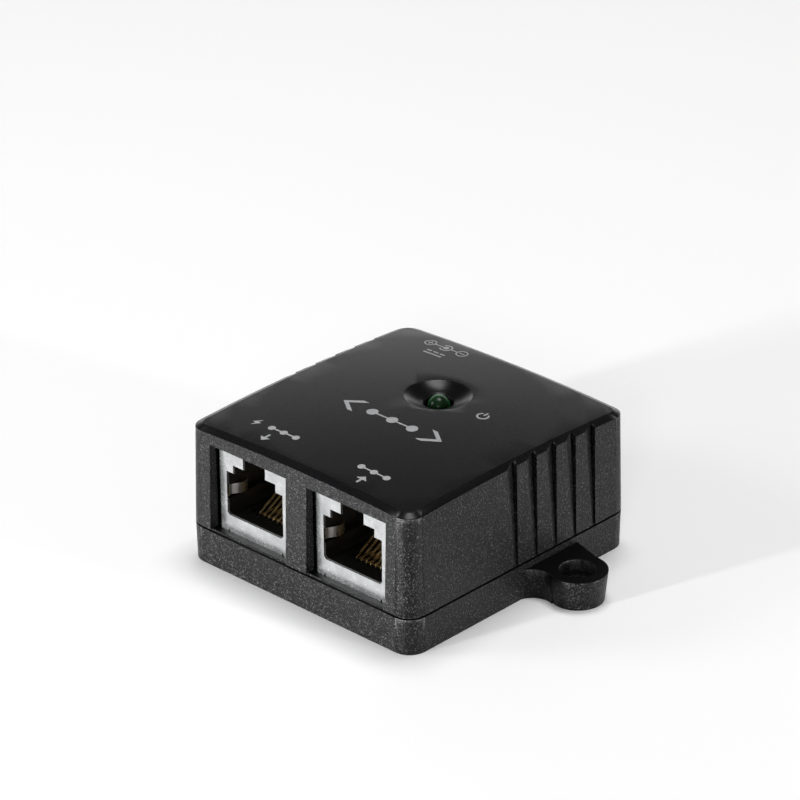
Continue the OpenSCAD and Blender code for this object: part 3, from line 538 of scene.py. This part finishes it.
# ---------------------------------------------------------------- floor, light, camera
def stage_material():
    k = Mat("studio_floor", IOR=1.45, Roughness=0.75, Specular_IOR_Level=0.2)
    cloud = k.noise(6.0, 2.0, 0.5)
    return k.sets(Base_Color=k.mix(cloud, (0.93, 0.93, 0.93, 1), (0.95, 0.95, 0.95, 1)),
                  Emission_Color=(1.0, 1.0, 1.0, 1.0), Emission_Strength=0.1)


bpy.ops.mesh.primitive_plane_add(size=6.0, location=(0, 0, 0))
floor = bpy.context.object
floor.name = "studio_floor"
floor.data.materials.append(stage_material())


def softbox(name, place, aim, width, height, power):
    data = bpy.data.lights.new(name, "AREA")
    data.shape = "RECTANGLE"
    data.size, data.size_y = width, height
    data.energy = power
    lamp = bpy.data.objects.new(name, data)
    lamp.location = place
    lamp.rotation_euler = (Vector(aim) - Vector(place)).to_track_quat("-Z", "Y").to_euler()
    bpy.context.scene.collection.objects.link(lamp)


softbox("front_strip", (-0.26, -0.97, 0.04), (0, 0, 0.012), 0.06, 0.07, 29.0)
softbox("side_strip", (0.97, 0.22, 0.04), (0, 0, 0.012), 0.06, 0.07, 10.0)
softbox("crest_light", (-0.68, -0.7, 0.5), (0, 0, 0.02), 0.3, 0.3, 2.2)
softbox("mouth_light", (0.52, -0.72, 0.4), (0, 0, 0.015), 0.12, 0.12, 1.2)
softbox("back_bank", (-0.03, 0.15, 1.15), (0, 0, 0), 0.5, 0.35, 7.0)

# studio sweep: dim overhead, with a pale backdrop that fades upward behind the object
BACKDROP, OVERHEAD, HORIZON = 1.55, 0.12, 0.2   # light levels
world = bpy.data.worlds.new("studio")
bpy.context.scene.world = world
world.use_nodes = True
w = world.node_tree
sky = w.nodes["Background"]
sky.inputs["Color"].default_value = (1, 1, 1, 1)
direction = w.nodes.new("ShaderNodeTexCoord").outputs["Generated"]
split = w.nodes.new("ShaderNodeSeparateXYZ")
toward = w.nodes.new("ShaderNodeVectorMath")
toward.operation = "DOT_PRODUCT"
toward.inputs[1].default_value = (-0.69, 0.72, 0.0)
w.links.new(direction, split.inputs[0])
w.links.new(direction, toward.inputs[0])


def ramp(value, a, b, c, d):
    n = w.nodes.new("ShaderNodeMapRange")
    n.interpolation_type = "SMOOTHSTEP"
    n.clamp = True
    w.links.new(value, n.inputs["Value"])
    for key, v in zip(("From Min", "From Max", "To Min", "To Max"), (a, b, c, d)):
        n.inputs[key].default_value = v
    return n.outputs[0]


height = ramp(split.outputs["Z"], 0.2, 0.455, 1.0, 0.0)
behind = ramp(toward.outputs["Value"], 0.35, 0.92, 0.04, 1.0)
glow = w.nodes.new("ShaderNodeMath")
glow.operation = "MULTIPLY"
w.links.new(height, glow.inputs[0])
w.links.new(behind, glow.inputs[1])
level = w.nodes.new("ShaderNodeMath")
level.operation = "MULTIPLY_ADD"
w.links.new(glow.outputs[0], level.inputs[0])
level.inputs[1].default_value = BACKDROP
level.inputs[2].default_value = OVERHEAD
total = w.nodes.new("ShaderNodeMath")
total.operation = "ADD"
w.links.new(level.outputs[0], total.inputs[0])
w.links.new(ramp(split.outputs["Z"], 0.05, 0.3, HORIZON, 0.0), total.inputs[1])
w.links.new(total.outputs[0], sky.inputs["Strength"])

# camera: azimuth and height above the horizon in degrees, place in millimetres
AZ, EL, ROLL = math.radians(43.701), math.radians(26.478), math.radians(-0.4431)
CAMERA_PLACE = Vector((348.93, -366.96, 278.29))
LENS, SENSOR = 165.14, 36.0
back = Vector((math.sin(AZ) * math.cos(EL), -math.cos(AZ) * math.cos(EL), math.sin(EL)))
right = Vector((math.cos(AZ), math.sin(AZ), 0))
up = back.cross(right)
right, up = (math.cos(ROLL) * right + math.sin(ROLL) * up, -math.sin(ROLL) * right + math.cos(ROLL) * up)
camera_data = bpy.data.cameras.new("camera")
camera_data.lens = LENS
camera_data.sensor_width = SENSOR
camera_data.clip_start, camera_data.clip_end = 0.02, 20.0
camera = bpy.data.objects.new("camera", camera_data)
bpy.context.scene.collection.objects.link(camera)
turn = Matrix((right, up, back)).transposed().to_4x4()
camera.matrix_world = Matrix.Translation(CAMERA_PLACE * MM) @ turn
bpy.context.scene.camera = camera
bpy.context.scene.view_settings.view_transform = "Standard"
